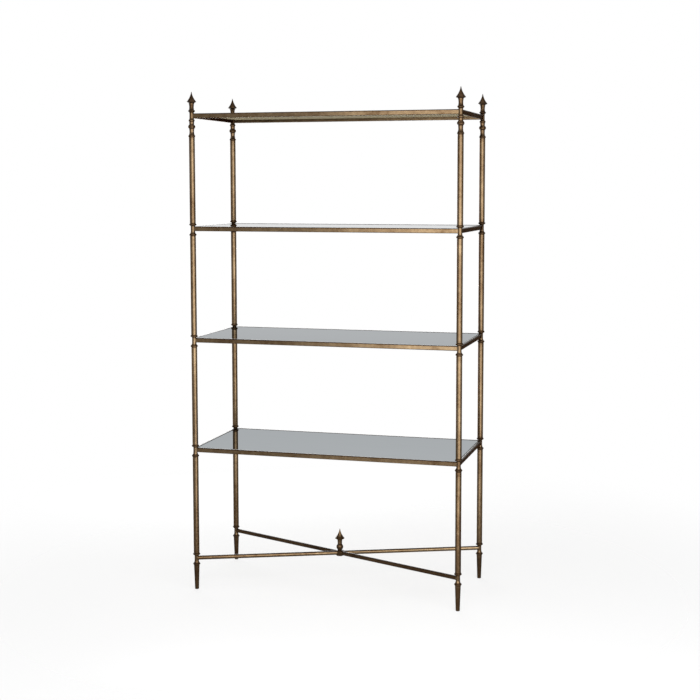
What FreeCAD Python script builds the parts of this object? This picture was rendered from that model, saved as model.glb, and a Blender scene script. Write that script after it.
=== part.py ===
"""Metal etagere: four turned posts, four framed tiers with drop-in mirror panels, crossed stretcher.

Frame: origin on the floor under the middle of the plan, X across the front, Y towards the back, Z up.
Every solid is one piece of the real object and is written to its own file, in millimetres.
"""
import FreeCAD
import Part
import math
import os
from FreeCAD import Vector

# Plan and levels
POST_SPACING_X = 1040.0
POST_SPACING_Y = 440.0
STRETCHER_HEIGHT = 124.0
TIER_PITCH = 429.0
TIER_COUNT = 4

# Post tubes with their welded end plugs
TUBE_DIAMETER = 22.2
TUBE_WALL = 1.6
PLUG_LENGTH = 24.0

# Studs that screw the posts together through the hubs
STUD_DIAMETER = 8.0
STUD_CLEARANCE = 0.2
STUD_ENGAGEMENT = 18.0
STUD_END_GAP = 2.0

# Turned hub of a tier or of the stretcher: a neck between an undercut collar and a flared one
HUB_RISE = 20.0
HUB_DROP = 27.0
COLLAR_DIAMETER = 28.0
COLLAR_THICKNESS = 8.0
QUIRK_DEPTH = 1.4
QUIRK_HEIGHT = 1.0
NECK_DIAMETER = 16.4
NECK_HEIGHT = 19.0

# Crown hub: the top tier's hub, drawn out below into a bead and a collar over the tube
CROWN_RISE = 21.5
CROWN_UPPER_RING_DIAMETER = 26.0
CROWN_LOWER_RING_DIAMETER = 23.4
CROWN_RING_THICKNESS = 7.5
CROWN_BEAD_DIAMETER = 27.4
CROWN_BEAD_HEIGHT = 15.0
CROWN_BEAD_DROP = 41.0
CROWN_BEAD_FILLET = 1.0
CROWN_THROAT_DIAMETER = 18.4
CROWN_THROAT_DROP = 29.0
CROWN_WAIST_DIAMETER = 17.6
CROWN_WAIST_DROP = 61.0
CROWN_COLLAR_DIAMETER = 26.4
CROWN_COLLAR_THICKNESS = 8.0
CROWN_COLLAR_DROP = 77.0
CROWN_LIP = 1.0

# Spire of the post finials and of the stretcher finial: a hollow-sided cone over a flared rim
SPIRE_HEIGHT = 37.5
SPIRE_RIM_DIAMETER = 36.4
SPIRE_RIM_THICKNESS = 1.4
SPIRE_UNDERCUT = 5.4
SPIRE_THROAT_DIAMETER = 21.0
SPIRE_WAIST_DIAMETER = 12.8
SPIRE_WAIST_HEIGHT = 18.5
SPIRE_TIP_DIAMETER = 1.6

# Stem below the spire of a post finial
FINIAL_STEM_HEIGHT = 31.5
FINIAL_BASE_DIAMETER = 20.4
FINIAL_NECK_DIAMETER = 17.0
FINIAL_NECK_HEIGHT = 10.0

# Tapered foot
FOOT_TOP_DIAMETER = 21.6
FOOT_BOTTOM_DIAMETER = 15.4
FOOT_EDGE = 1.2

# Tier frame: bars coped and welded to the hub necks, with a ledge inside each bar
RAIL_HEIGHT = 18.0
RAIL_WIDTH = 9.0
RAIL_EDGE_RADIUS = 3.0
WELD_GAP = 0.15
LEDGE_WIDTH = 14.0
LEDGE_THICKNESS = 3.0
LEDGE_END_GAP = 24.0

# Drop-in mirror panel
PANEL_THICKNESS = 5.0
PANEL_RECESS = 1.0
PANEL_EDGE_GAP = 1.5
PANEL_POST_GAP = 1.5
PANEL_ARRIS = 0.8

# Crossed stretcher
ARM_DIAMETER = 16.0
CENTRE_HUB_DIAMETER = 28.0
CENTRE_HUB_HEIGHT = 22.0
CENTRE_HUB_EDGE = 1.5
CENTRE_BALL_DIAMETER = 27.0
CENTRE_FOOT_DIAMETER = 17.0
CENTRE_FOOT_HEIGHT = 3.0
CENTRE_NECK_DIAMETER = 17.6
CENTRE_NECK_HEIGHT = 33.0
CENTRE_STEM_HEIGHT = 48.5

# Values worked out from the sizes above
TUBE_RADIUS = TUBE_DIAMETER / 2
COLLAR_RADIUS = COLLAR_DIAMETER / 2
NECK_RADIUS = NECK_DIAMETER / 2
STUD_RADIUS = STUD_DIAMETER / 2
BORE_RADIUS = STUD_RADIUS + STUD_CLEARANCE
BORE_DEPTH = STUD_ENGAGEMENT + STUD_END_GAP
CROWN_DROP = CROWN_COLLAR_DROP + CROWN_COLLAR_THICKNESS / 2 + CROWN_LIP
TIER_LEVELS = [STRETCHER_HEIGHT + TIER_PITCH * (index + 1) for index in range(TIER_COUNT)]
CROWN_LEVEL = TIER_LEVELS[-1]
FOOT_HEIGHT = STRETCHER_HEIGHT - HUB_DROP
CORNERS = {
    "front_left": (-POST_SPACING_X / 2, -POST_SPACING_Y / 2),
    "front_right": (POST_SPACING_X / 2, -POST_SPACING_Y / 2),
    "rear_left": (-POST_SPACING_X / 2, POST_SPACING_Y / 2),
    "rear_right": (POST_SPACING_X / 2, POST_SPACING_Y / 2),
}
UP = Vector(0, 0, 1)


class TurnedOutline:
    """Outline of a turned piece, drawn upwards from the axis, as radius and height."""

    def __init__(self, radius, height):
        self.start = (radius, height)
        self.here = self.start
        self.edges = []

    @staticmethod
    def point(radius, height):
        return Vector(radius, 0, height)

    def line(self, radius, height):
        self.edges.append(Part.LineSegment(self.point(*self.here), self.point(radius, height)).toShape())
        self.here = (radius, height)
        return self

    def arc(self, middle, end):
        points = [self.point(*place) for place in (self.here, middle, end)]
        self.edges.append(Part.Arc(*points).toShape())
        self.here = end
        return self

    def bead(self, peak_radius, thickness):
        """Swelling arc that ends straight above where it starts."""
        radius, height = self.here
        return self.arc((peak_radius, height + thickness / 2), (radius, height + thickness))

    def cove(self, radius, height, upright_at_end):
        """Hollow arc that runs upright at its slimmer end."""
        wide, slim = (self.here, (radius, height)) if upright_at_end else ((radius, height), self.here)
        step_in = wide[0] - slim[0]
        step_up = wide[1] - slim[1]
        sweep_radius = (step_in ** 2 + step_up ** 2) / (2 * step_in)
        centre_radius = slim[0] + sweep_radius
        half_turn = math.atan2(abs(step_up), centre_radius - wide[0]) / 2
        rise = math.copysign(sweep_radius * math.sin(half_turn), step_up)
        middle = (centre_radius - sweep_radius * math.cos(half_turn), slim[1] + rise)
        return self.arc(middle, (radius, height))

    def solid(self):
        """Close the outline and turn it about the upright axis."""
        self.line(*self.start)
        face = Part.Face(Part.Wire(self.edges))
        return face.revolve(Vector(0, 0, 0), UP, 360)


def rod(radius, length, base, direction=UP):
    """Plain round bar."""
    return Part.makeCylinder(radius, length, base, direction)


def at_corners(shape, level):
    """One copy of a turned piece on each post axis."""
    return [shape.translated(Vector(x, y, level)) for x, y in CORNERS.values()]


def add_neck(outline, quirk_radius, collar_edge):
    """Cove into the neck, the neck itself, and the cove out to the upper quirk."""
    half = NECK_HEIGHT / 2
    outline.cove(NECK_RADIUS, -half, True)
    outline.line(NECK_RADIUS, half)
    outline.cove(quirk_radius, collar_edge - QUIRK_HEIGHT, False)
    outline.line(quirk_radius, collar_edge)


def tier_hub():
    """Turned hub that carries four bars or a stretcher arm at its neck."""
    upper_collar = HUB_RISE - COLLAR_THICKNESS
    quirk_radius = TUBE_RADIUS - QUIRK_DEPTH
    outline = TurnedOutline(BORE_RADIUS, -HUB_DROP)
    outline.line(TUBE_RADIUS, -HUB_DROP)
    outline.bead(COLLAR_RADIUS, COLLAR_THICKNESS)
    add_neck(outline, quirk_radius, upper_collar)
    outline.line(TUBE_RADIUS, upper_collar)
    outline.bead(COLLAR_RADIUS, COLLAR_THICKNESS)
    outline.line(BORE_RADIUS, HUB_RISE)
    return outline.solid()


def crown_hub():
    """Hub of the top tier, with the bead and collar that finish the tube below it."""
    ring_edge = CROWN_RISE - CROWN_RING_THICKNESS
    ring_root = (CROWN_LOWER_RING_DIAMETER / 2 + NECK_RADIUS) / 2
    throat_radius = CROWN_THROAT_DIAMETER / 2
    waist_radius = CROWN_WAIST_DIAMETER / 2
    bead_bottom = -CROWN_BEAD_DROP - CROWN_BEAD_HEIGHT / 2
    bead_top = bead_bottom + CROWN_BEAD_HEIGHT
    outline = TurnedOutline(BORE_RADIUS, -CROWN_DROP)
    outline.line(TUBE_RADIUS, -CROWN_DROP)
    outline.line(TUBE_RADIUS, -CROWN_DROP + CROWN_LIP)
    outline.bead(CROWN_COLLAR_DIAMETER / 2, CROWN_COLLAR_THICKNESS)
    outline.cove(waist_radius, -CROWN_WAIST_DROP, True)
    outline.cove(waist_radius + CROWN_BEAD_FILLET, bead_bottom, False)
    outline.arc((CROWN_BEAD_DIAMETER / 2, -CROWN_BEAD_DROP), (throat_radius, bead_top))
    outline.line(throat_radius, -CROWN_THROAT_DROP)
    outline.cove(ring_root, -CROWN_RISE, False)
    outline.bead(CROWN_LOWER_RING_DIAMETER / 2, CROWN_RING_THICKNESS)
    add_neck(outline, ring_root, ring_edge)
    outline.bead(CROWN_UPPER_RING_DIAMETER / 2, CROWN_RING_THICKNESS)
    outline.line(BORE_RADIUS, CROWN_RISE)
    return outline.solid()


def add_spire(outline, rim_height):
    """Throat, undercut rim and hollow-sided cone, up to the blunt tip."""
    rim_radius = SPIRE_RIM_DIAMETER / 2
    tip_height = rim_height + SPIRE_HEIGHT
    waist = (SPIRE_WAIST_DIAMETER / 2, rim_height + SPIRE_WAIST_HEIGHT)
    outline.cove(SPIRE_THROAT_DIAMETER / 2, rim_height - SPIRE_UNDERCUT, False)
    outline.line(rim_radius, rim_height - SPIRE_RIM_THICKNESS)
    outline.line(rim_radius, rim_height)
    outline.arc(waist, (SPIRE_TIP_DIAMETER / 2, tip_height))
    outline.line(0, tip_height)


def close_over_bore(outline):
    """Come down the axis to the end of the stud's blind bore, then out to its wall."""
    base = outline.start[1]
    outline.line(0, base + BORE_DEPTH)
    outline.line(BORE_RADIUS, base + BORE_DEPTH)
    return outline.solid()


def post_finial():
    """Finial with a waisted stem, drawn from the crown hub's top face."""
    outline = TurnedOutline(BORE_RADIUS, 0)
    outline.line(FINIAL_BASE_DIAMETER / 2, 0)
    outline.cove(FINIAL_NECK_DIAMETER / 2, FINIAL_NECK_HEIGHT, True)
    add_spire(outline, FINIAL_STEM_HEIGHT)
    return close_over_bore(outline)


def stretcher_finial():
    """Finial with a ball in its stem, drawn from the centre hub's top face."""
    foot_radius = CENTRE_FOOT_DIAMETER / 2
    neck_radius = CENTRE_NECK_DIAMETER / 2
    ball_radius = CENTRE_BALL_DIAMETER / 2
    ball_centre = CENTRE_FOOT_HEIGHT + math.sqrt(ball_radius ** 2 - foot_radius ** 2)
    ball_top = ball_centre + math.sqrt(ball_radius ** 2 - neck_radius ** 2)
    outline = TurnedOutline(BORE_RADIUS, 0)
    outline.line(foot_radius, 0)
    outline.line(foot_radius, CENTRE_FOOT_HEIGHT)
    outline.arc((ball_radius, ball_centre), (neck_radius, ball_top))
    outline.line(neck_radius, CENTRE_NECK_HEIGHT)
    add_spire(outline, CENTRE_STEM_HEIGHT)
    return close_over_bore(outline)


def foot():
    """Tapered foot with a blunt, eased end, bored from its top face for the stud."""
    top_radius = FOOT_TOP_DIAMETER / 2
    bottom_radius = FOOT_BOTTOM_DIAMETER / 2
    outline = TurnedOutline(0, 0)
    outline.line(bottom_radius - FOOT_EDGE, 0)
    outline.line(bottom_radius, FOOT_EDGE)
    outline.line(top_radius, FOOT_HEIGHT)
    outline.line(BORE_RADIUS, FOOT_HEIGHT)
    outline.line(BORE_RADIUS, FOOT_HEIGHT - BORE_DEPTH)
    outline.line(0, FOOT_HEIGHT - BORE_DEPTH)
    return outline.solid()


def post_tube(bottom, top):
    """Tube with a bored plug welded into each end."""
    length = top - bottom
    bore = TUBE_RADIUS - TUBE_WALL
    tube = rod(TUBE_RADIUS, length, Vector(0, 0, bottom))
    hollow = rod(bore, length - 2 * PLUG_LENGTH, Vector(0, 0, bottom + PLUG_LENGTH))
    passage = rod(BORE_RADIUS, length, Vector(0, 0, bottom))
    return tube.cut(hollow.fuse(passage))


def stud(bottom, top):
    """Plain stand-in for a threaded stud between two blind bores."""
    return rod(STUD_RADIUS, top - bottom, Vector(0, 0, bottom))


def bar(length):
    """Bar with eased edges, along X and centred on the origin."""
    corner = Vector(-length / 2, -RAIL_WIDTH / 2, -RAIL_HEIGHT / 2)
    block = Part.makeBox(length, RAIL_WIDTH, RAIL_HEIGHT, corner)
    long_edges = [edge for edge in block.Edges if edge.BoundBox.XLength > length / 2]
    return block.makeFillet(RAIL_EDGE_RADIUS, long_edges)


def coped(shape, length, radius):
    """Cut both ends of a piece along X to fit round posts of the given radius."""
    for end in (-length / 2, length / 2):
        shape = shape.cut(rod(radius + WELD_GAP, COLLAR_DIAMETER * 2, Vector(end, 0, -COLLAR_DIAMETER)))
    return shape


def placed(shape, x, y, level, turn):
    """Turn a piece about the upright axis, then carry it to its place."""
    copy = shape.copy()
    copy.rotate(Vector(0, 0, 0), UP, turn)
    copy.translate(Vector(x, y, level))
    return copy


def tier_rails(level):
    """The four bars of one tier, named by the side they are on."""
    long_bar = coped(bar(POST_SPACING_X), POST_SPACING_X, NECK_RADIUS)
    short_bar = coped(bar(POST_SPACING_Y), POST_SPACING_Y, NECK_RADIUS)
    return {
        "front": placed(long_bar, 0, -POST_SPACING_Y / 2, level, 0),
        "rear": placed(long_bar, 0, POST_SPACING_Y / 2, level, 0),
        "left": placed(short_bar, -POST_SPACING_X / 2, 0, level, 90),
        "right": placed(short_bar, POST_SPACING_X / 2, 0, level, 90),
    }


def ledge_top(level):
    """Height of the face that a panel rests on."""
    return level + RAIL_HEIGHT / 2 - PANEL_RECESS - PANEL_THICKNESS


def tier_ledges(level):
    """Flat strips welded inside the four bars."""
    bottom = ledge_top(level) - LEDGE_THICKNESS
    inner_x = POST_SPACING_X / 2 - RAIL_WIDTH / 2
    inner_y = POST_SPACING_Y / 2 - RAIL_WIDTH / 2
    long_length = POST_SPACING_X - 2 * LEDGE_END_GAP
    short_length = POST_SPACING_Y - 2 * LEDGE_END_GAP
    strips = []
    for y in (-inner_y, inner_y - LEDGE_WIDTH):
        start = Vector(-long_length / 2, y, bottom)
        strips.append(Part.makeBox(long_length, LEDGE_WIDTH, LEDGE_THICKNESS, start))
    for x in (-inner_x, inner_x - LEDGE_WIDTH):
        start = Vector(x, -short_length / 2, bottom)
        strips.append(Part.makeBox(LEDGE_WIDTH, short_length, LEDGE_THICKNESS, start))
    return strips


def mirror_panel(level):
    """Mirror plate whose corners are clipped to pass the posts when it is lifted."""
    half_x = POST_SPACING_X / 2 - RAIL_WIDTH / 2 - PANEL_EDGE_GAP
    half_y = POST_SPACING_Y / 2 - RAIL_WIDTH / 2 - PANEL_EDGE_GAP
    edge_inset = RAIL_WIDTH / 2 + PANEL_EDGE_GAP
    clip = (COLLAR_RADIUS + PANEL_POST_GAP) * math.sqrt(2) - 2 * edge_inset
    outline = []
    for side_x, side_y in ((1, 1), (-1, 1), (-1, -1), (1, -1)):
        along_x = (side_x * (half_x - clip), side_y * half_y)
        along_y = (side_x * half_x, side_y * (half_y - clip))
        outline += [along_y, along_x] if side_x == side_y else [along_x, along_y]
    points = [Vector(x, y, ledge_top(level)) for x, y in outline]
    plate = Part.Face(Part.makePolygon(points + points[:1])).extrude(Vector(0, 0, PANEL_THICKNESS))
    top = ledge_top(level) + PANEL_THICKNESS
    rim = [edge for edge in plate.Edges if edge.BoundBox.ZMin > top - PANEL_THICKNESS / 2]
    return plate.makeChamfer(PANEL_ARRIS, rim)


def centre_hub():
    """Hub at the crossing, bored from above for the finial's stud."""
    radius = CENTRE_HUB_DIAMETER / 2
    half = CENTRE_HUB_HEIGHT / 2
    outline = TurnedOutline(0, -half)
    outline.line(radius - CENTRE_HUB_EDGE, -half)
    outline.line(radius, -half + CENTRE_HUB_EDGE)
    outline.line(radius, half - CENTRE_HUB_EDGE)
    outline.line(radius - CENTRE_HUB_EDGE, half)
    outline.line(BORE_RADIUS, half)
    outline.line(BORE_RADIUS, half - BORE_DEPTH)
    outline.line(0, half - BORE_DEPTH)
    return outline.solid()


def stretcher_arm(x, y):
    """Round arm from the centre hub to one post, coped at both ends and mitred to its neighbour."""
    reach = math.hypot(x, y)
    arm = rod(ARM_DIAMETER / 2, reach, Vector(0, 0, 0), Vector(1, 0, 0))
    for end, radius in ((0, CENTRE_HUB_DIAMETER / 2), (reach, NECK_RADIUS)):
        arm = arm.cut(rod(radius + WELD_GAP, ARM_DIAMETER * 2, Vector(end, 0, -ARM_DIAMETER)))
    arm = placed(arm, 0, 0, STRETCHER_HEIGHT, math.degrees(math.atan2(y, x)))
    far_edge = -WELD_GAP / 2 if y < 0 else WELD_GAP / 2 - reach
    far_corner = Vector(-reach, far_edge, STRETCHER_HEIGHT - ARM_DIAMETER)
    return arm.cut(Part.makeBox(2 * reach, reach, 2 * ARM_DIAMETER, far_corner))


def post_pieces():
    """Feet, tubes, hubs, finials and studs of the four posts."""
    hub_levels = [STRETCHER_HEIGHT] + TIER_LEVELS[:-1]
    tube_bottoms = [level + HUB_RISE for level in hub_levels]
    tube_tops = [level - HUB_DROP for level in hub_levels[1:]] + [CROWN_LEVEL - CROWN_DROP]
    turned_foot = foot()
    turned_finial = post_finial()
    pieces = {}
    for corner, (x, y) in CORNERS.items():
        pieces[corner + "_foot"] = turned_foot.translated(Vector(x, y, 0))
        pieces[corner + "_finial"] = turned_finial.translated(Vector(x, y, CROWN_LEVEL + CROWN_RISE))
        for number, (bottom, top) in enumerate(zip(tube_bottoms, tube_tops), start=1):
            pieces[f"{corner}_post_tube_{number}"] = post_tube(bottom, top).translated(Vector(x, y, 0))
    hub = tier_hub()
    pieces["stretcher_corner_hubs"] = Part.makeCompound(at_corners(hub, STRETCHER_HEIGHT))
    for number, level in enumerate(TIER_LEVELS[:-1], start=1):
        pieces[f"tier_{number}_corner_hubs"] = Part.makeCompound(at_corners(hub, level))
    pieces["crown_hubs"] = Part.makeCompound(at_corners(crown_hub(), CROWN_LEVEL))
    studs = []
    for level in hub_levels:
        studs += at_corners(stud(-HUB_DROP - STUD_ENGAGEMENT, HUB_RISE + STUD_ENGAGEMENT), level)
    studs += at_corners(stud(-CROWN_DROP - STUD_ENGAGEMENT, CROWN_RISE + STUD_ENGAGEMENT), CROWN_LEVEL)
    centre_top = STRETCHER_HEIGHT + CENTRE_HUB_HEIGHT / 2
    studs.append(stud(centre_top - STUD_ENGAGEMENT, centre_top + STUD_ENGAGEMENT))
    pieces["joint_studs"] = Part.makeCompound(studs)
    return pieces


def tier_pieces():
    """Bars, ledges and mirror panel of each tier."""
    pieces = {}
    for number, level in enumerate(TIER_LEVELS, start=1):
        for side, rail in tier_rails(level).items():
            pieces[f"tier_{number}_{side}_rail"] = rail
        pieces[f"tier_{number}_ledges"] = Part.makeCompound(tier_ledges(level))
        pieces[f"tier_{number}_mirror_panel"] = mirror_panel(level)
    return pieces


def stretcher_pieces():
    """Crossed stretcher with its hub and finial."""
    centre_top = STRETCHER_HEIGHT + CENTRE_HUB_HEIGHT / 2
    pieces = {
        "stretcher_centre_hub": centre_hub().translated(Vector(0, 0, STRETCHER_HEIGHT)),
        "stretcher_finial": stretcher_finial().translated(Vector(0, 0, centre_top)),
    }
    for corner, (x, y) in CORNERS.items():
        pieces[f"stretcher_{corner}_arm"] = stretcher_arm(x, y)
    return pieces


def main():
    os.makedirs("parts", exist_ok=True)
    pieces = {**post_pieces(), **tier_pieces(), **stretcher_pieces()}
    for name, shape in pieces.items():
        shape.exportStep(f"parts/{name}.step")


main()
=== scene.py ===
"""Looks of the etagere: antiqued gold leaf with some painted shade and light, mirror panels, weld fillets,
and a plain white studio.
"""
import math

import bmesh
import bpy
from mathutils import Euler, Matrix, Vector


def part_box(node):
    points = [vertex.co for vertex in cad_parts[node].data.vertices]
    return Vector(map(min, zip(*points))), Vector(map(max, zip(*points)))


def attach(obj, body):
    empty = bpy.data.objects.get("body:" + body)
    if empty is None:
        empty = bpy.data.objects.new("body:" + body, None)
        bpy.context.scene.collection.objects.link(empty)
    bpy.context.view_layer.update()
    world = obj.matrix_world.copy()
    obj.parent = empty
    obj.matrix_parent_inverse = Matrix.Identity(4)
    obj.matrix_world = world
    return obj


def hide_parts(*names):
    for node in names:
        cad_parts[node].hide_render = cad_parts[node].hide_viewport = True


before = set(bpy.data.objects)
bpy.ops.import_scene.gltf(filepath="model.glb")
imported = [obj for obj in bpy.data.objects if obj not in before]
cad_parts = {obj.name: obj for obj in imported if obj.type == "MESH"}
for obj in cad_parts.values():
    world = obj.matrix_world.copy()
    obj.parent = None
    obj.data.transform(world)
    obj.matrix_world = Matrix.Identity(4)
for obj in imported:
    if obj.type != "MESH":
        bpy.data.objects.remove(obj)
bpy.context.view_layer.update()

# Sizes shared with the solids, in metres
NECK_RADIUS = 0.0082
CENTRE_HUB_RADIUS = 0.014
TUBE_RADIUS = 0.0111
COLLAR_RADIUS = 0.014
SPIRE_HEIGHT = 0.0375
BAR_EDGE_RADIUS = 0.003
PANEL_CORNER_CLIP = 0.0099
PANEL_ARRIS = 0.0008

# Weld beads: their radius, the ripple of their surface, and how finely they are drawn
WELD_RADIUS = 0.0011
WELD_RIPPLE = 0.0006
WELD_RIPPLE_SCALE = 700.0
WELD_CORNER_POINTS = 8
WELD_POINTS = 72
WELD_SECTION_POINTS = 10

# Bare brown, thin leaf, full leaf and rubbed leaf, and the side of one leaf
LEAF_COLOURS = (
    (0.00, (0.014, 0.007, 0.003)),
    (0.35, (0.061, 0.037, 0.019)),
    (0.65, (0.133, 0.094, 0.054)),
    (1.00, (0.310, 0.231, 0.137)),
)
LEAF_SIZE = 0.085

# Tint of the gold at a low angle, and the shares of drift, mottle, laps and pits in its tone
GOLD_LOW_ANGLE_TINT = (0.20, 0.158, 0.116, 1.0)
DRIFT_SHARE = 0.4
MOTTLE_SHARE = 0.45
LAP_SHARE = 0.10
PIT_SHARE = 0.2

# How much of the gold is darkened at each place: glaze and painted shade in grooves, painted shade on
# rings, low on the posts, at the feet, under bars and on two arms, a painted dark reflection on bar tops,
# and plain darkening on crowns and spires
RING_PAINTED_SHADE = 0.22
GROOVE_GLAZE_AND_SHADE = 0.38
CROWN_DARKENING = 0.07
CROWN_NECK_DARKENING = 0.12
SPIRE_DARKENING = 0.20
LOW_PAINTED_SHADE = 0.10
FOOT_PAINTED_SHADE = 0.22
BAR_TOP_PAINTED_REFLECTION = 0.6
BAR_UNDERSIDE_PAINTED_SHADE = 0.12
ARM_PAINTED_SHADE = 0.32

# Painted light: how much gold the brighter arms gain with each metre to the right, where the light falls
# on them
ARM_PAINTED_LIGHT = 0.3

# Heights between which that darkening and painted shade set in or end; those of the crowns are from the
# top tier's level
CROWN_START = (-0.10, -0.085)
CROWN_NECK_START = (0.008, 0.014)
LOW_END = (0.1, 0.75)
FOOT_END = (0.075, 0.10)

# Where the painted shade of rings sets in, over the tube, and the darkening of spires, below their rim
RING_RISE = 0.0006
SPIRE_DEPTH = 0.003

# Distances from a bar's top and underside at which the painted dark reflection on top and the painted
# shade underneath set in and are full
BAR_TOP_START = (0.0042, 0.0012)
BAR_UNDERSIDE_START = (0.0030, 0.0008)

# Heights of the grooves from their tier's level, the width of their glaze and painted shade, and the span
# that is mapped
HUB_GROOVES = (-0.027, -0.019, 0.012, 0.020)
CROWN_GROOVES = (-0.081, -0.073, -0.0485, -0.0335, -0.0215, -0.014, 0.014, 0.0215)
CENTRE_GROOVES = (0.011, 0.014, 0.0347)
GROOVE_WIDTH = 0.0064
GROOVE_SPAN = 0.2

# Silvered face from streak to streak, its tint at a low angle, and the darker rim where the silver ends
SILVER_COLOURS = ((0.8, (0.72, 0.742, 0.76)), (1.0, (0.81, 0.835, 0.85)))
SILVER_LOW_ANGLE_TINT = (0.435, 0.45, 0.46, 1.0)
SILVER_RIM_COLOUR = (0.20, 0.215, 0.22)
SILVER_RIM = 0.004

# Steel of the studs, edge of the plates and paint on their backs
STEEL_COLOURS = ((0.3, (0.40, 0.41, 0.42)), (0.7, (0.60, 0.61, 0.62)))
EDGE_COLOURS = ((0.3, (0.20, 0.26, 0.245)), (0.7, (0.30, 0.37, 0.35)))
PAINT_COLOURS = ((0.3, (0.460, 0.385, 0.215)), (0.7, (0.570, 0.480, 0.285)))

# Floor: its radius, the grey that takes the shadow, the share of white over it, and where it fades out
FLOOR_RADIUS = 5.0
FLOOR_GREY = (0.64, 0.64, 0.64, 1.0)
FLOOR_WHITE = 0.75
FLOOR_FADE = (0.7, 2.4)

# White of the studio, and the strength of the soft light that it gives
WHITE = (1.0, 1.0, 1.0, 1.0)
SOFT_LIGHT = 0.2

# Soft lights: place, aim, width, height and power in watts
SOFTBOXES = {
    "key": ((1.396, -1.727, 1.12), (0.526, 0.233, 1.12), 1.95, 2.2, 70),
    "key_wing": ((-0.021, -2.356, 1.335), (-0.891, -0.396, 1.335), 1.15, 1.77, 33),
    "low_strip": ((0.5, -1.15, 0.1), (0.35, 0, 0.1), 1.6, 0.18, 5.0),
    "top": ((0.3, -0.6, 4.2), (0, 0, 0.9), 3.0, 2.0, 57),
    "rear_key": ((-1.10, 1.90, 1.12), (0, 0, 1.12), 2.4, 2.2, 88),
}

# Camera's place and aim, found by fitting the posts and hubs to the photo
CAMERA_PLACE = (1.4747, -5.0683, 1.58)
CAMERA_YAW = 15.768
CAMERA_PITCH = -5.207
CAMERA_ROLL = 0.066
CAMERA_LENS = 69.817
CAMERA_SHIFT = -0.06

# Words that the names of the pieces are made of
TIERS = (1, 2, 3, 4)
SIDES = ("front", "rear", "left", "right")
CORNERS = ("front_left", "front_right", "rear_left", "rear_right")


def middle(node):
    """Middle of a node's box."""
    low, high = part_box(node)
    return (low + high) / 2


def extent(node):
    """Size of a node's box."""
    low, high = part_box(node)
    return high - low


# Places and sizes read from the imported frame
POST = middle("rear_right_foot")
STRETCHER_LEVEL = middle("stretcher_centre_hub").z
TIER_LEVELS = [middle(f"tier_{tier}_front_rail").z for tier in TIERS]
TIER_PITCH = TIER_LEVELS[1] - TIER_LEVELS[0]
SPIRE_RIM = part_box("rear_right_finial")[1].z - SPIRE_HEIGHT
BAR_SIZE = extent("tier_1_front_rail")
ARM_DIAMETER = extent("stretcher_front_left_arm").z


class Signal:
    """A socket's value; arithmetic with numbers or other signals adds Math nodes."""

    def __init__(self, finish, socket):
        self.finish = finish
        self.socket = socket

    def maths(self, operation, first, second=0.0):
        return self.finish.node("ShaderNodeMath", {"operation": operation}, {0: first, 1: second})

    def __add__(self, other):
        return self.maths("ADD", self, other)

    def __radd__(self, other):
        return self.maths("ADD", other, self)

    def __sub__(self, other):
        return self.maths("SUBTRACT", self, other)

    def __rsub__(self, other):
        return self.maths("SUBTRACT", other, self)

    def __mul__(self, other):
        return self.maths("MULTIPLY", self, other)

    def __rmul__(self, other):
        return self.maths("MULTIPLY", other, self)

    def __truediv__(self, other):
        return self.maths("DIVIDE", self, other)

    def __rtruediv__(self, other):
        return self.maths("DIVIDE", other, self)

    def __abs__(self):
        return self.maths("ABSOLUTE", self)


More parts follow.
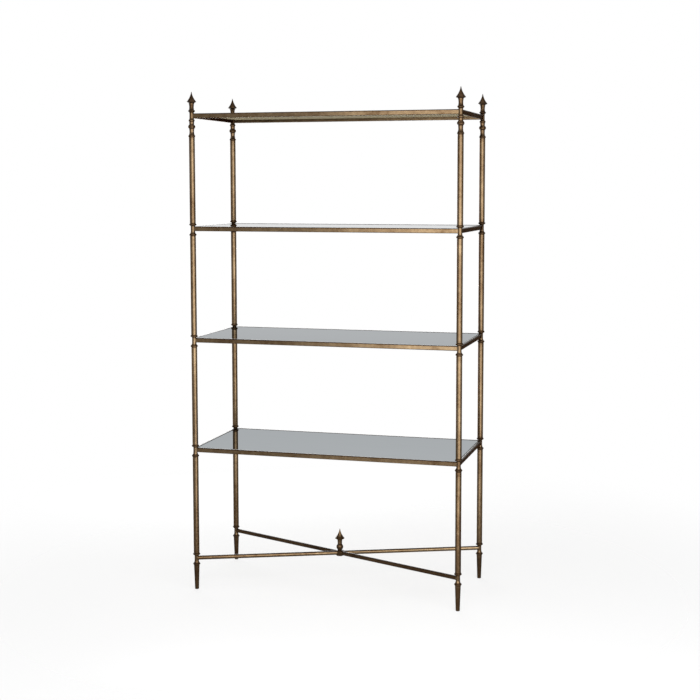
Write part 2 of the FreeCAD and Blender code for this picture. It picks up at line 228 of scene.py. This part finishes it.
class Finish:
    """Node tree of one material or of the world, with one method that makes its nodes."""

    def __init__(self, owner):
        owner.use_nodes = True
        self.owner = owner
        self.tree = owner.node_tree
        self.tree.nodes.clear()

    def node(self, kind, settings=None, sockets=None, output=0):
        """Add a node, set it up, feed its sockets and hand back one of its outputs."""
        node = self.tree.nodes.new(kind)
        for name, value in (settings or {}).items():
            if name == "stops":
                self.set_stops(node.color_ramp, value)
            else:
                setattr(node, name, value)
        for name, value in (sockets or {}).items():
            if isinstance(value, Signal):
                self.tree.links.new(value.socket, node.inputs[name])
            else:
                node.inputs[name].default_value = value
        return Signal(self, node.outputs[output]) if node.outputs else None

    @staticmethod
    def set_stops(ramp, stops):
        while len(ramp.elements) < len(stops):
            ramp.elements.new(1.0)
        for element, (position, colour) in zip(ramp.elements, stops):
            element.position = position
            element.color = (*colour, 1.0)

    def place(self):
        return self.node("ShaderNodeTexCoord", output="Object")

    def split(self, vector):
        """The three parts of a vector."""
        node = self.node("ShaderNodeSeparateXYZ", sockets={0: vector}).socket.node
        return [Signal(self, socket) for socket in node.outputs]

    def noise(self, vector, scale, detail=2.0, roughness=0.5):
        return self.node(
            "ShaderNodeTexNoise",
            sockets={"Vector": vector, "Scale": scale, "Detail": detail, "Roughness": roughness},
        )

    def lines(self, value, scale):
        """Fine lines across the direction in which a value grows."""
        return self.node("ShaderNodeTexNoise", {"noise_dimensions": "1D"}, {"W": value, "Scale": scale})

    def ease(self, value, low, high):
        """Smooth step from 0 at low to 1 at high."""
        return self.node(
            "ShaderNodeMapRange",
            {"interpolation_type": "SMOOTHSTEP"},
            {"Value": value, "From Min": low, "From Max": high},
        )

    def ramp(self, value, stops):
        return self.node("ShaderNodeValToRGB", {"stops": stops}, {0: value})

    def mix(self, factor, first, second):
        """Blend of two colours."""
        first = first if isinstance(first, Signal) else (*first, 1.0)
        second = second if isinstance(second, Signal) else (*second, 1.0)
        return self.node("ShaderNodeMix", {"data_type": "RGBA"}, {0: factor, 6: first, 7: second}, 2)

    def bump(self, height, distance, strength):
        sockets = {"Height": height, "Distance": distance, "Strength": strength}
        return self.node("ShaderNodeBump", sockets=sockets)

    def seen(self):
        """1 for rays from the eye, mirrors and glass, 0 for rays that carry soft light."""
        path = self.node("ShaderNodeLightPath").socket.node.outputs
        rays = [Signal(self, path[f"Is {kind} Ray"]) for kind in ("Camera", "Glossy", "Transmission")]
        return rays[0] + rays[1] + rays[2]

    def surface(self, **sockets):
        """Close the tree with a Principled surface; names are its sockets with spaces as underscores."""
        named = {name.replace("_", " "): value for name, value in sockets.items()}
        shader = self.node("ShaderNodeBsdfPrincipled", sockets=named)
        self.node("ShaderNodeOutputMaterial", sockets={"Surface": shader})
        return self.owner


def new_finish(name):
    return Finish(bpy.data.materials.new(name))


def gilded(finish, glaze_painted_light_and_shade):
    """Gold leaf over dark brown; the shift lightens it with painted light and darkens it with glaze,
    painted shade and plain darkening.
    """
    place = finish.place()
    drift = finish.noise(place, scale=11.0, detail=3.0)
    mottle = finish.noise(place, scale=70.0, detail=5.0, roughness=0.62)
    grain = finish.noise(place, scale=480.0, detail=3.0)
    leaves = {0: place, "Scale": 1 / LEAF_SIZE}
    leaf = finish.node("ShaderNodeVectorMath", {"operation": "SCALE"}, leaves)
    leaf = finish.node("ShaderNodeVectorMath", {"operation": "FLOOR"}, {0: leaf})
    lap = finish.node("ShaderNodeTexWhiteNoise", sockets={"Vector": leaf})
    pits = finish.ease(grain, low=0.62, high=0.72)
    gilt = 0.5 + (drift - 0.5) * DRIFT_SHARE + (mottle - 0.5) * MOTTLE_SHARE + (lap - 0.5) * LAP_SHARE
    gilt = gilt + glaze_painted_light_and_shade - pits * PIT_SHARE
    height = mottle * 0.6 + grain * 0.25 - pits * 0.4
    return finish.surface(
        Base_Color=finish.ramp(gilt, LEAF_COLOURS),
        Metallic=finish.ease(gilt, low=-0.2, high=0.45),
        Roughness=0.32 - gilt * 0.12 + (mottle - 0.5) * 0.08,
        Normal=finish.bump(height, distance=0.0003, strength=0.15),
        Specular_Tint=GOLD_LOW_ANGLE_TINT,
        Specular_IOR_Level=0.1,
    )


def groove_glaze_and_shade(finish, offset, places):
    """1 in the thin lines of glaze and painted shade at some heights from a level, 0 elsewhere."""
    black = (0.0, 0.0, 0.0)
    white = (1.0, 1.0, 1.0)
    half = GROOVE_WIDTH / GROOVE_SPAN / 2
    stops = []
    for place in places:
        middle_stop = place / GROOVE_SPAN + 0.5
        stops += [(middle_stop - half, black), (middle_stop, white), (middle_stop + half, black)]
    return finish.ramp(offset / GROOVE_SPAN + 0.5, stops)


def turned_gold(name, axis_x, axis_y, grooves):
    """Leaf on turned work about upright axes: painted shade on rings, low down and at the feet, glaze and
    painted shade in grooves, and darker crowns and spires.
    """
    finish = new_finish(name)
    across, deep, up = finish.split(finish.place())
    sides = {0: abs(across) - axis_x, 1: abs(deep) - axis_y}
    from_axis = finish.node("ShaderNodeCombineXYZ", sockets=sides)
    radius = finish.node("ShaderNodeVectorMath", {"operation": "LENGTH"}, {0: from_axis}, "Value")
    half_pitch = TIER_PITCH / 2
    limits = {0: up - STRETCHER_LEVEL, 1: half_pitch, 2: -half_pitch}
    offset = finish.node("ShaderNodeMath", {"operation": "WRAP"}, limits)
    # Glaze and painted shade in thin lines at the grooves
    groove = groove_glaze_and_shade(finish, offset, grooves)
    crown_start, crown_full = [TIER_LEVELS[-1] + height for height in CROWN_START]
    neck_start, neck_full = [TIER_LEVELS[-1] + height for height in CROWN_NECK_START]
    # Plain darkening of the crowns, their necks and their spires
    on_crown = finish.ease(up, crown_start, crown_full)
    on_crown_neck = finish.ease(up, neck_start, neck_full)
    on_spire = finish.ease(up, SPIRE_RIM - SPIRE_DEPTH, SPIRE_RIM)
    # Painted shade on the rings and collars
    on_ring = finish.ease(radius, TUBE_RADIUS + RING_RISE, COLLAR_RADIUS) * (1 - on_spire)
    # Painted shade that darkens the posts towards the floor and at the feet
    low_down = 1 - finish.ease(up, *LOW_END)
    on_foot = 1 - finish.ease(up, *FOOT_END)
    glaze_and_painted_shade = on_ring * RING_PAINTED_SHADE + groove * GROOVE_GLAZE_AND_SHADE + low_down * LOW_PAINTED_SHADE + on_foot * FOOT_PAINTED_SHADE
    glaze_and_painted_shade = glaze_and_painted_shade + on_crown * CROWN_DARKENING + on_crown_neck * CROWN_NECK_DARKENING + on_spire * SPIRE_DARKENING
    return gilded(finish, 0 - glaze_and_painted_shade)


def bar_gold(name, glaze_and_painted_shade, painted_light_to_right):
    """Leaf on straight bars, with a painted dark reflection on top and painted shade a little below; the
    last argument adds painted light towards the right.
    """
    finish = new_finish(name)
    across, _, up = finish.split(finish.place())
    level = (up - (STRETCHER_LEVEL - TIER_PITCH / 2)) / TIER_PITCH
    from_level = finish.node("ShaderNodeMath", {"operation": "FRACT"}, {0: level})
    offset = (from_level - 0.5) * TIER_PITCH
    top_start, top_full = [BAR_SIZE.z / 2 - inset for inset in BAR_TOP_START]
    under_start, under_full = [BAR_SIZE.z / 2 - inset for inset in BAR_UNDERSIDE_START]
    # Painted dark reflection along the top of each bar, and painted shade along its underside
    top = finish.ease(offset, top_start, top_full)
    underside = finish.ease(0 - offset, under_start, under_full)
    return gilded(finish, across * painted_light_to_right - glaze_and_painted_shade - top * BAR_TOP_PAINTED_REFLECTION - underside * BAR_UNDERSIDE_PAINTED_SHADE)


def stud_steel():
    """Zinc-plated steel with fine turning marks."""
    finish = new_finish("stud_steel")
    up = finish.split(finish.place())[2]
    marks = finish.lines(up, scale=2600.0)
    return finish.surface(
        Base_Color=finish.ramp(marks, STEEL_COLOURS),
        Metallic=1.0,
        Roughness=0.28 + marks * 0.2,
        Normal=finish.bump(marks, distance=0.0002, strength=0.4),
    )


def mirror_silver(half_x, half_y):
    """Silvered face: cool grey, faint wiped streaks, and a darker rim where the silver ends."""
    finish = new_finish("mirror_silver")
    place = finish.place()
    across, deep, _ = finish.split(place)
    inset_x = half_x - abs(across)
    inset_y = half_y - abs(deep)
    inset = finish.node("ShaderNodeMath", {"operation": "MINIMUM"}, {0: inset_x, 1: inset_y})
    stretched = finish.node("ShaderNodeMapping", sockets={"Vector": place, "Scale": (2.0, 14.0, 1.0)})
    wipe = finish.noise(stretched, scale=3.0, detail=4.0)
    dust = finish.ease(finish.noise(place, scale=900.0, detail=1.0), low=0.66, high=0.78)
    silver = finish.ease(inset, low=0.0, high=SILVER_RIM)
    face = finish.ramp(0.92 + wipe * 0.16 - dust * 0.05, SILVER_COLOURS)
    return finish.surface(
        Base_Color=finish.mix(silver, SILVER_RIM_COLOUR, face),
        Metallic=1.0,
        Roughness=0.015 + wipe * 0.03 + dust * 0.08,
        Specular_Tint=SILVER_LOW_ANGLE_TINT,
    )


def glass_edge():
    """Polished edge of the plate, with the pale green of thick glass and fine grinding lines."""
    finish = new_finish("glass_edge")
    up = finish.split(finish.place())[2]
    lines = finish.lines(up, scale=1800.0)
    return finish.surface(
        Base_Color=finish.ramp(lines, EDGE_COLOURS),
        Roughness=0.12 + lines * 0.1,
        Metallic=0.35,
    )


def painted_back():
    """Rolled taupe paint that protects the silver from below."""
    finish = new_finish("painted_back")
    place = finish.place()
    roll = finish.noise(place, scale=260.0, detail=3.0)
    drift = finish.noise(place, scale=6.0)
    return finish.surface(
        Base_Color=finish.ramp(drift * 0.7 + roll * 0.3, PAINT_COLOURS),
        Roughness=0.6 + roll * 0.15,
        Normal=finish.bump(roll, distance=0.0004, strength=0.5),
        Specular_IOR_Level=0.25,
    )


def add_object(name, mesh):
    piece = bpy.data.objects.new(name, mesh)
    bpy.context.scene.collection.objects.link(piece)
    return piece


def mirror_panel(tier, finishes):
    """Plate with clipped corners and eased edges; finishes are those of its face, edge and back."""
    node = f"tier_{tier}_mirror_panel"
    low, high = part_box(node)
    outline = []
    for side_x, side_y in ((1, 1), (-1, 1), (-1, -1), (1, -1)):
        x = high.x if side_x > 0 else low.x
        y = high.y if side_y > 0 else low.y
        along_x = (x - side_x * PANEL_CORNER_CLIP, y)
        along_y = (x, y - side_y * PANEL_CORNER_CLIP)
        outline += [along_y, along_x] if side_x == side_y else [along_x, along_y]
    shape = bmesh.new()
    back = shape.faces.new([shape.verts.new((x, y, low.z)) for x, y in outline])
    raised = bmesh.ops.extrude_face_region(shape, geom=[back])["geom"]
    raised = [item for item in raised if isinstance(item, bmesh.types.BMVert)]
    bmesh.ops.translate(shape, verts=raised, vec=(0, 0, high.z - low.z))
    bmesh.ops.recalc_face_normals(shape, faces=shape.faces)
    rims = [edge for edge in shape.edges if abs(edge.verts[0].co.z - edge.verts[1].co.z) < 1e-6]
    bmesh.ops.bevel(shape, geom=rims, offset=PANEL_ARRIS, segments=2, profile=0.5, affect="EDGES")
    for face in shape.faces:
        face.smooth = abs(face.normal.z) < 0.99
        if face.smooth:
            face.material_index = 1
        elif face.normal.z < 0:
            face.material_index = 2
    mesh = bpy.data.meshes.new(f"tier_{tier}_mirror")
    shape.to_mesh(mesh)
    shape.free()
    for finish in finishes:
        mesh.materials.append(finish)
    piece = add_object(f"tier_{tier}_mirror", mesh)
    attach(piece, node)
    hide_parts(node)
    return piece


def weld_tree():
    """Node tree of a fillet bead round the end of a bar, wrapped on the neck that it meets."""
    tree = bpy.data.node_groups.new("weld_fillet", "GeometryNodeTree")

    def socket(name, kind, way="INPUT"):
        return tree.interface.new_socket(name, in_out=way, socket_type=f"NodeSocket{kind}").identifier

    socket("Ends", "Geometry")
    sizes = {}
    for name in ("Bar Width", "Bar Height", "Corner Radius", "Neck Radius", "Bead Radius"):
        sizes[name] = socket(name, "Float")
    sizes["Finish"] = socket("Finish", "Material")
    socket("Welds", "Geometry", "OUTPUT")

    def node(kind, settings=None, sockets=None):
        made = tree.nodes.new(kind)
        for name, value in (settings or {}).items():
            setattr(made, name, value)
        for name, value in (sockets or {}).items():
            if isinstance(value, bpy.types.NodeSocket):
                tree.links.new(value, made.inputs[name])
            else:
                made.inputs[name].default_value = value
        return made

    def maths(operation, first, second=0.0):
        return node("ShaderNodeMath", {"operation": operation}, {0: first, 1: second}).outputs[0]

    given = node("NodeGroupInput").outputs
    outline = node("GeometryNodeCurvePrimitiveQuadrilateral", sockets={
        "Width": given["Bar Width"],
        "Height": given["Bar Height"],
    }).outputs["Curve"]
    outline = node("GeometryNodeFilletCurve", {"mode": "POLY"}, {
        "Curve": outline,
        "Count": WELD_CORNER_POINTS,
        "Radius": given["Corner Radius"],
        "Limit Radius": True,
    }).outputs["Curve"]
    outline = node("GeometryNodeResampleCurve", sockets={
        "Curve": outline,
        "Count": WELD_POINTS,
    }).outputs["Curve"]
    spot = node("GeometryNodeInputPosition").outputs[0]
    spot = node("ShaderNodeSeparateXYZ", sockets={0: spot}).outputs
    reach = maths("MULTIPLY", given["Neck Radius"], given["Neck Radius"])
    reach = maths("SQRT", maths("SUBTRACT", reach, maths("MULTIPLY", spot["X"], spot["X"])))
    wrapped = node("ShaderNodeCombineXYZ", sockets={"X": reach, "Y": spot["X"], "Z": spot["Y"]}).outputs[0]
    outline = node("GeometryNodeSetPosition", sockets={
        "Geometry": outline,
        "Position": wrapped,
    }).outputs[0]
    section = node("GeometryNodeCurvePrimitiveCircle", sockets={
        "Resolution": WELD_SECTION_POINTS,
        "Radius": given["Bead Radius"],
    }).outputs[0]
    bead = node("GeometryNodeCurveToMesh", sockets={"Curve": outline, "Profile Curve": section}).outputs[0]
    turn = node("GeometryNodeInputNamedAttribute", {"data_type": "FLOAT"}, {"Name": "turn"}).outputs[0]
    turn = node("ShaderNodeCombineXYZ", sockets={"Z": turn}).outputs[0]
    spread = node("GeometryNodeInstanceOnPoints", sockets={
        "Points": given["Ends"],
        "Instance": bead,
        "Rotation": turn,
    }).outputs[0]
    solid = node("GeometryNodeRealizeInstances", sockets={"Geometry": spread}).outputs[0]
    ripple = node("ShaderNodeTexNoise", sockets={"Scale": WELD_RIPPLE_SCALE, "Detail": 1.0}).outputs[0]
    ripple = maths("MULTIPLY", maths("SUBTRACT", ripple, 0.5), WELD_RIPPLE)
    normal = node("GeometryNodeInputNormal").outputs[0]
    offset = node("ShaderNodeVectorMath", {"operation": "SCALE"}, {0: normal, "Scale": ripple}).outputs[0]
    solid = node("GeometryNodeSetPosition", sockets={"Geometry": solid, "Offset": offset}).outputs[0]
    solid = node("GeometryNodeSetShadeSmooth", sockets={"Geometry": solid}).outputs[0]
    solid = node("GeometryNodeSetMaterial", sockets={
        "Geometry": solid,
        "Material": given["Finish"],
    }).outputs[0]
    node("NodeGroupOutput", sockets={"Welds": solid})
    return tree, sizes


def weld_piece(name, tree, sizes, ends, values):
    """One mesh of fillets; ends lists a neck's centre and the heading of the bar that leaves it."""
    seeds = bpy.data.meshes.new(name + "_ends")
    seeds.from_pydata([place for place, _ in ends], [], [])
    seeds.attributes.new("turn", "FLOAT", "POINT").data.foreach_set("value", [turn for _, turn in ends])
    carrier = add_object(name + "_ends", seeds)
    modifier = carrier.modifiers.new("welds", "NODES")
    modifier.node_group = tree
    for key, value in values.items():
        modifier[sizes[key]] = value
    evaluated = carrier.evaluated_get(bpy.context.evaluated_depsgraph_get())
    mesh = bpy.data.meshes.new_from_object(evaluated)
    carrier.modifiers.remove(modifier)
    bpy.data.objects.remove(carrier)
    mesh.name = name
    piece = add_object(name, mesh)
    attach(piece, "frame")


def add_welds(finish):
    """Fillets where the tier bars and the stretcher arms meet their hubs."""
    tree, sizes = weld_tree()
    bar_ends = []
    arm_ends = []
    crossing_ends = []
    for side_x in (-1, 1):
        for side_y in (-1, 1):
            x = side_x * POST.x
            y = side_y * POST.y
            for level in TIER_LEVELS:
                bar_ends.append(((x, y, level), math.atan2(0, -side_x)))
                bar_ends.append(((x, y, level), math.atan2(-side_y, 0)))
            arm_ends.append(((x, y, STRETCHER_LEVEL), math.atan2(-y, -x)))
            crossing_ends.append(((0, 0, STRETCHER_LEVEL), math.atan2(y, x)))
    bar = {"Bar Width": BAR_SIZE.y, "Bar Height": BAR_SIZE.z, "Corner Radius": BAR_EDGE_RADIUS}
    arm = {"Bar Width": ARM_DIAMETER, "Bar Height": ARM_DIAMETER, "Corner Radius": ARM_DIAMETER / 2}
    at_neck = {"Neck Radius": NECK_RADIUS, "Bead Radius": WELD_RADIUS, "Finish": finish}
    at_centre = {**at_neck, "Neck Radius": CENTRE_HUB_RADIUS}
    weld_piece("tier_bar_welds", tree, sizes, bar_ends, {**bar, **at_neck})
    weld_piece("stretcher_arm_welds", tree, sizes, arm_ends, {**arm, **at_neck})
    weld_piece("stretcher_crossing_welds", tree, sizes, crossing_ends, {**arm, **at_centre})


def dress(nodes, finish):
    """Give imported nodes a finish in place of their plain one."""
    for name in nodes:
        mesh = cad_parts[name].data
        mesh.materials.clear()
        mesh.materials.append(finish)


def dress_frame():
    """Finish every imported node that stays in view, and hand back the mirror plates."""
    post_gold = turned_gold("post_gold", POST.x, POST.y, HUB_GROOVES)
    crown_gold = turned_gold("crown_gold", POST.x, POST.y, CROWN_GROOVES)
    centre_gold = turned_gold("centre_gold", 0.0, 0.0, CENTRE_GROOVES)
    straight_gold = bar_gold("bar_gold", glaze_and_painted_shade=0.0, painted_light_to_right=0.0)
    # These two arms get painted light that grows towards the right
    painted_light_arms_gold = bar_gold("painted_light_arms_gold", glaze_and_painted_shade=0.0, painted_light_to_right=ARM_PAINTED_LIGHT)
    # These two arms get painted shade all over
    painted_shade_arms_gold = bar_gold("painted_shade_arms_gold", glaze_and_painted_shade=ARM_PAINTED_SHADE, painted_light_to_right=0.0)
    centre = ["stretcher_centre_hub", "stretcher_finial"]
    crown = ["crown_hubs"] + [f"{corner}_finial" for corner in CORNERS]
    straight = [f"tier_{tier}_{side}_rail" for tier in TIERS for side in SIDES]
    straight += [f"tier_{tier}_ledges" for tier in TIERS]
    arms = ["stretcher_front_left_arm", "stretcher_rear_right_arm"]
    painted_shade_arms = ["stretcher_rear_left_arm", "stretcher_front_right_arm"]
    panels = [f"tier_{tier}_mirror_panel" for tier in TIERS]
    others = {"joint_studs", *centre, *crown, *straight, *arms, *painted_shade_arms, *panels}
    dress(centre, centre_gold)
    dress(crown, crown_gold)
    dress(straight, straight_gold)
    dress(arms, painted_light_arms_gold)
    dress(painted_shade_arms, painted_shade_arms_gold)
    dress([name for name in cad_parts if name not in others], post_gold)
    dress(["joint_studs"], stud_steel())
    add_welds(straight_gold)
    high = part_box("tier_1_mirror_panel")[1]
    finishes = [mirror_silver(high.x, high.y), glass_edge(), painted_back()]
    return [mirror_panel(tier, finishes) for tier in TIERS]


def studio_floor():
    """Pale floor that fades into the white background, and keeps the object's shadow."""
    shape = bmesh.new()
    bmesh.ops.create_circle(shape, cap_ends=True, segments=96, radius=FLOOR_RADIUS)
    mesh = bpy.data.meshes.new("studio_floor")
    shape.to_mesh(mesh)
    shape.free()
    finish = new_finish("studio_floor")
    place = finish.place()
    away = finish.node("ShaderNodeVectorMath", {"operation": "LENGTH"}, {0: place}, "Value")
    shade = finish.node("ShaderNodeBsdfDiffuse", sockets={"Color": FLOOR_GREY})
    white = finish.node("ShaderNodeEmission", sockets={"Color": WHITE, "Strength": 1.0})
    seen_white = finish.seen() * FLOOR_WHITE
    pale = finish.node("ShaderNodeMixShader", sockets={0: seen_white, 1: shade, 2: white})
    clear = finish.node("ShaderNodeBsdfTransparent")
    fade = finish.ease(away, *FLOOR_FADE)
    blend = finish.node("ShaderNodeMixShader", sockets={0: fade, 1: pale, 2: clear})
    finish.node("ShaderNodeOutputMaterial", sockets={"Surface": blend})
    mesh.materials.append(finish.owner)
    add_object("studio_floor", mesh)


def studio_world():
    """White to the eye and in reflections, a softer light on everything else."""
    world = bpy.data.worlds.new("studio")
    bpy.context.scene.world = world
    finish = Finish(world)
    white = finish.node("ShaderNodeBackground", sockets={"Color": WHITE, "Strength": 1.0})
    soft = finish.node("ShaderNodeBackground", sockets={"Color": WHITE, "Strength": SOFT_LIGHT})
    blend = finish.node("ShaderNodeMixShader", sockets={0: finish.seen(), 1: soft, 2: white})
    finish.node("ShaderNodeOutputWorld", sockets={"Surface": blend})


def flagged_off(pieces):
    """Collection that keeps the soft lights off some pieces, so that mirrors show the plain studio."""
    flag = bpy.data.collections.new("flagged_off")
    for piece in pieces:
        flag.objects.link(piece)
    for member in flag.collection_objects:
        member.light_linking.link_state = "EXCLUDE"
    return flag


def softbox(name, flag, place, aim, width, height, power):
    """Rectangular soft light that points at a spot."""
    lamp = bpy.data.lights.new(name, "AREA")
    lamp.shape = "RECTANGLE"
    lamp.size = width
    lamp.size_y = height
    lamp.energy = power
    holder = bpy.data.objects.new(name, lamp)
    holder.location = place
    holder.rotation_euler = (Vector(aim) - Vector(place)).to_track_quat("-Z", "Y").to_euler()
    holder.visible_camera = False
    holder.light_linking.receiver_collection = flag
    bpy.context.scene.collection.objects.link(holder)


def studio(mirrors):
    """Floor, world, lights, camera and colour management."""
    studio_floor()
    studio_world()
    flag = flagged_off(mirrors)
    for name, values in SOFTBOXES.items():
        softbox(name, flag, *values)
    camera = bpy.data.objects.new("camera", bpy.data.cameras.new("camera"))
    camera.location = CAMERA_PLACE
    angles = (90 + CAMERA_PITCH, CAMERA_ROLL, CAMERA_YAW)
    camera.rotation_euler = Euler([math.radians(angle) for angle in angles])
    camera.data.lens = CAMERA_LENS
    camera.data.shift_y = CAMERA_SHIFT
    bpy.context.scene.collection.objects.link(camera)
    bpy.context.scene.camera = camera
    bpy.context.scene.view_settings.view_transform = "Standard"


studio(dress_frame())
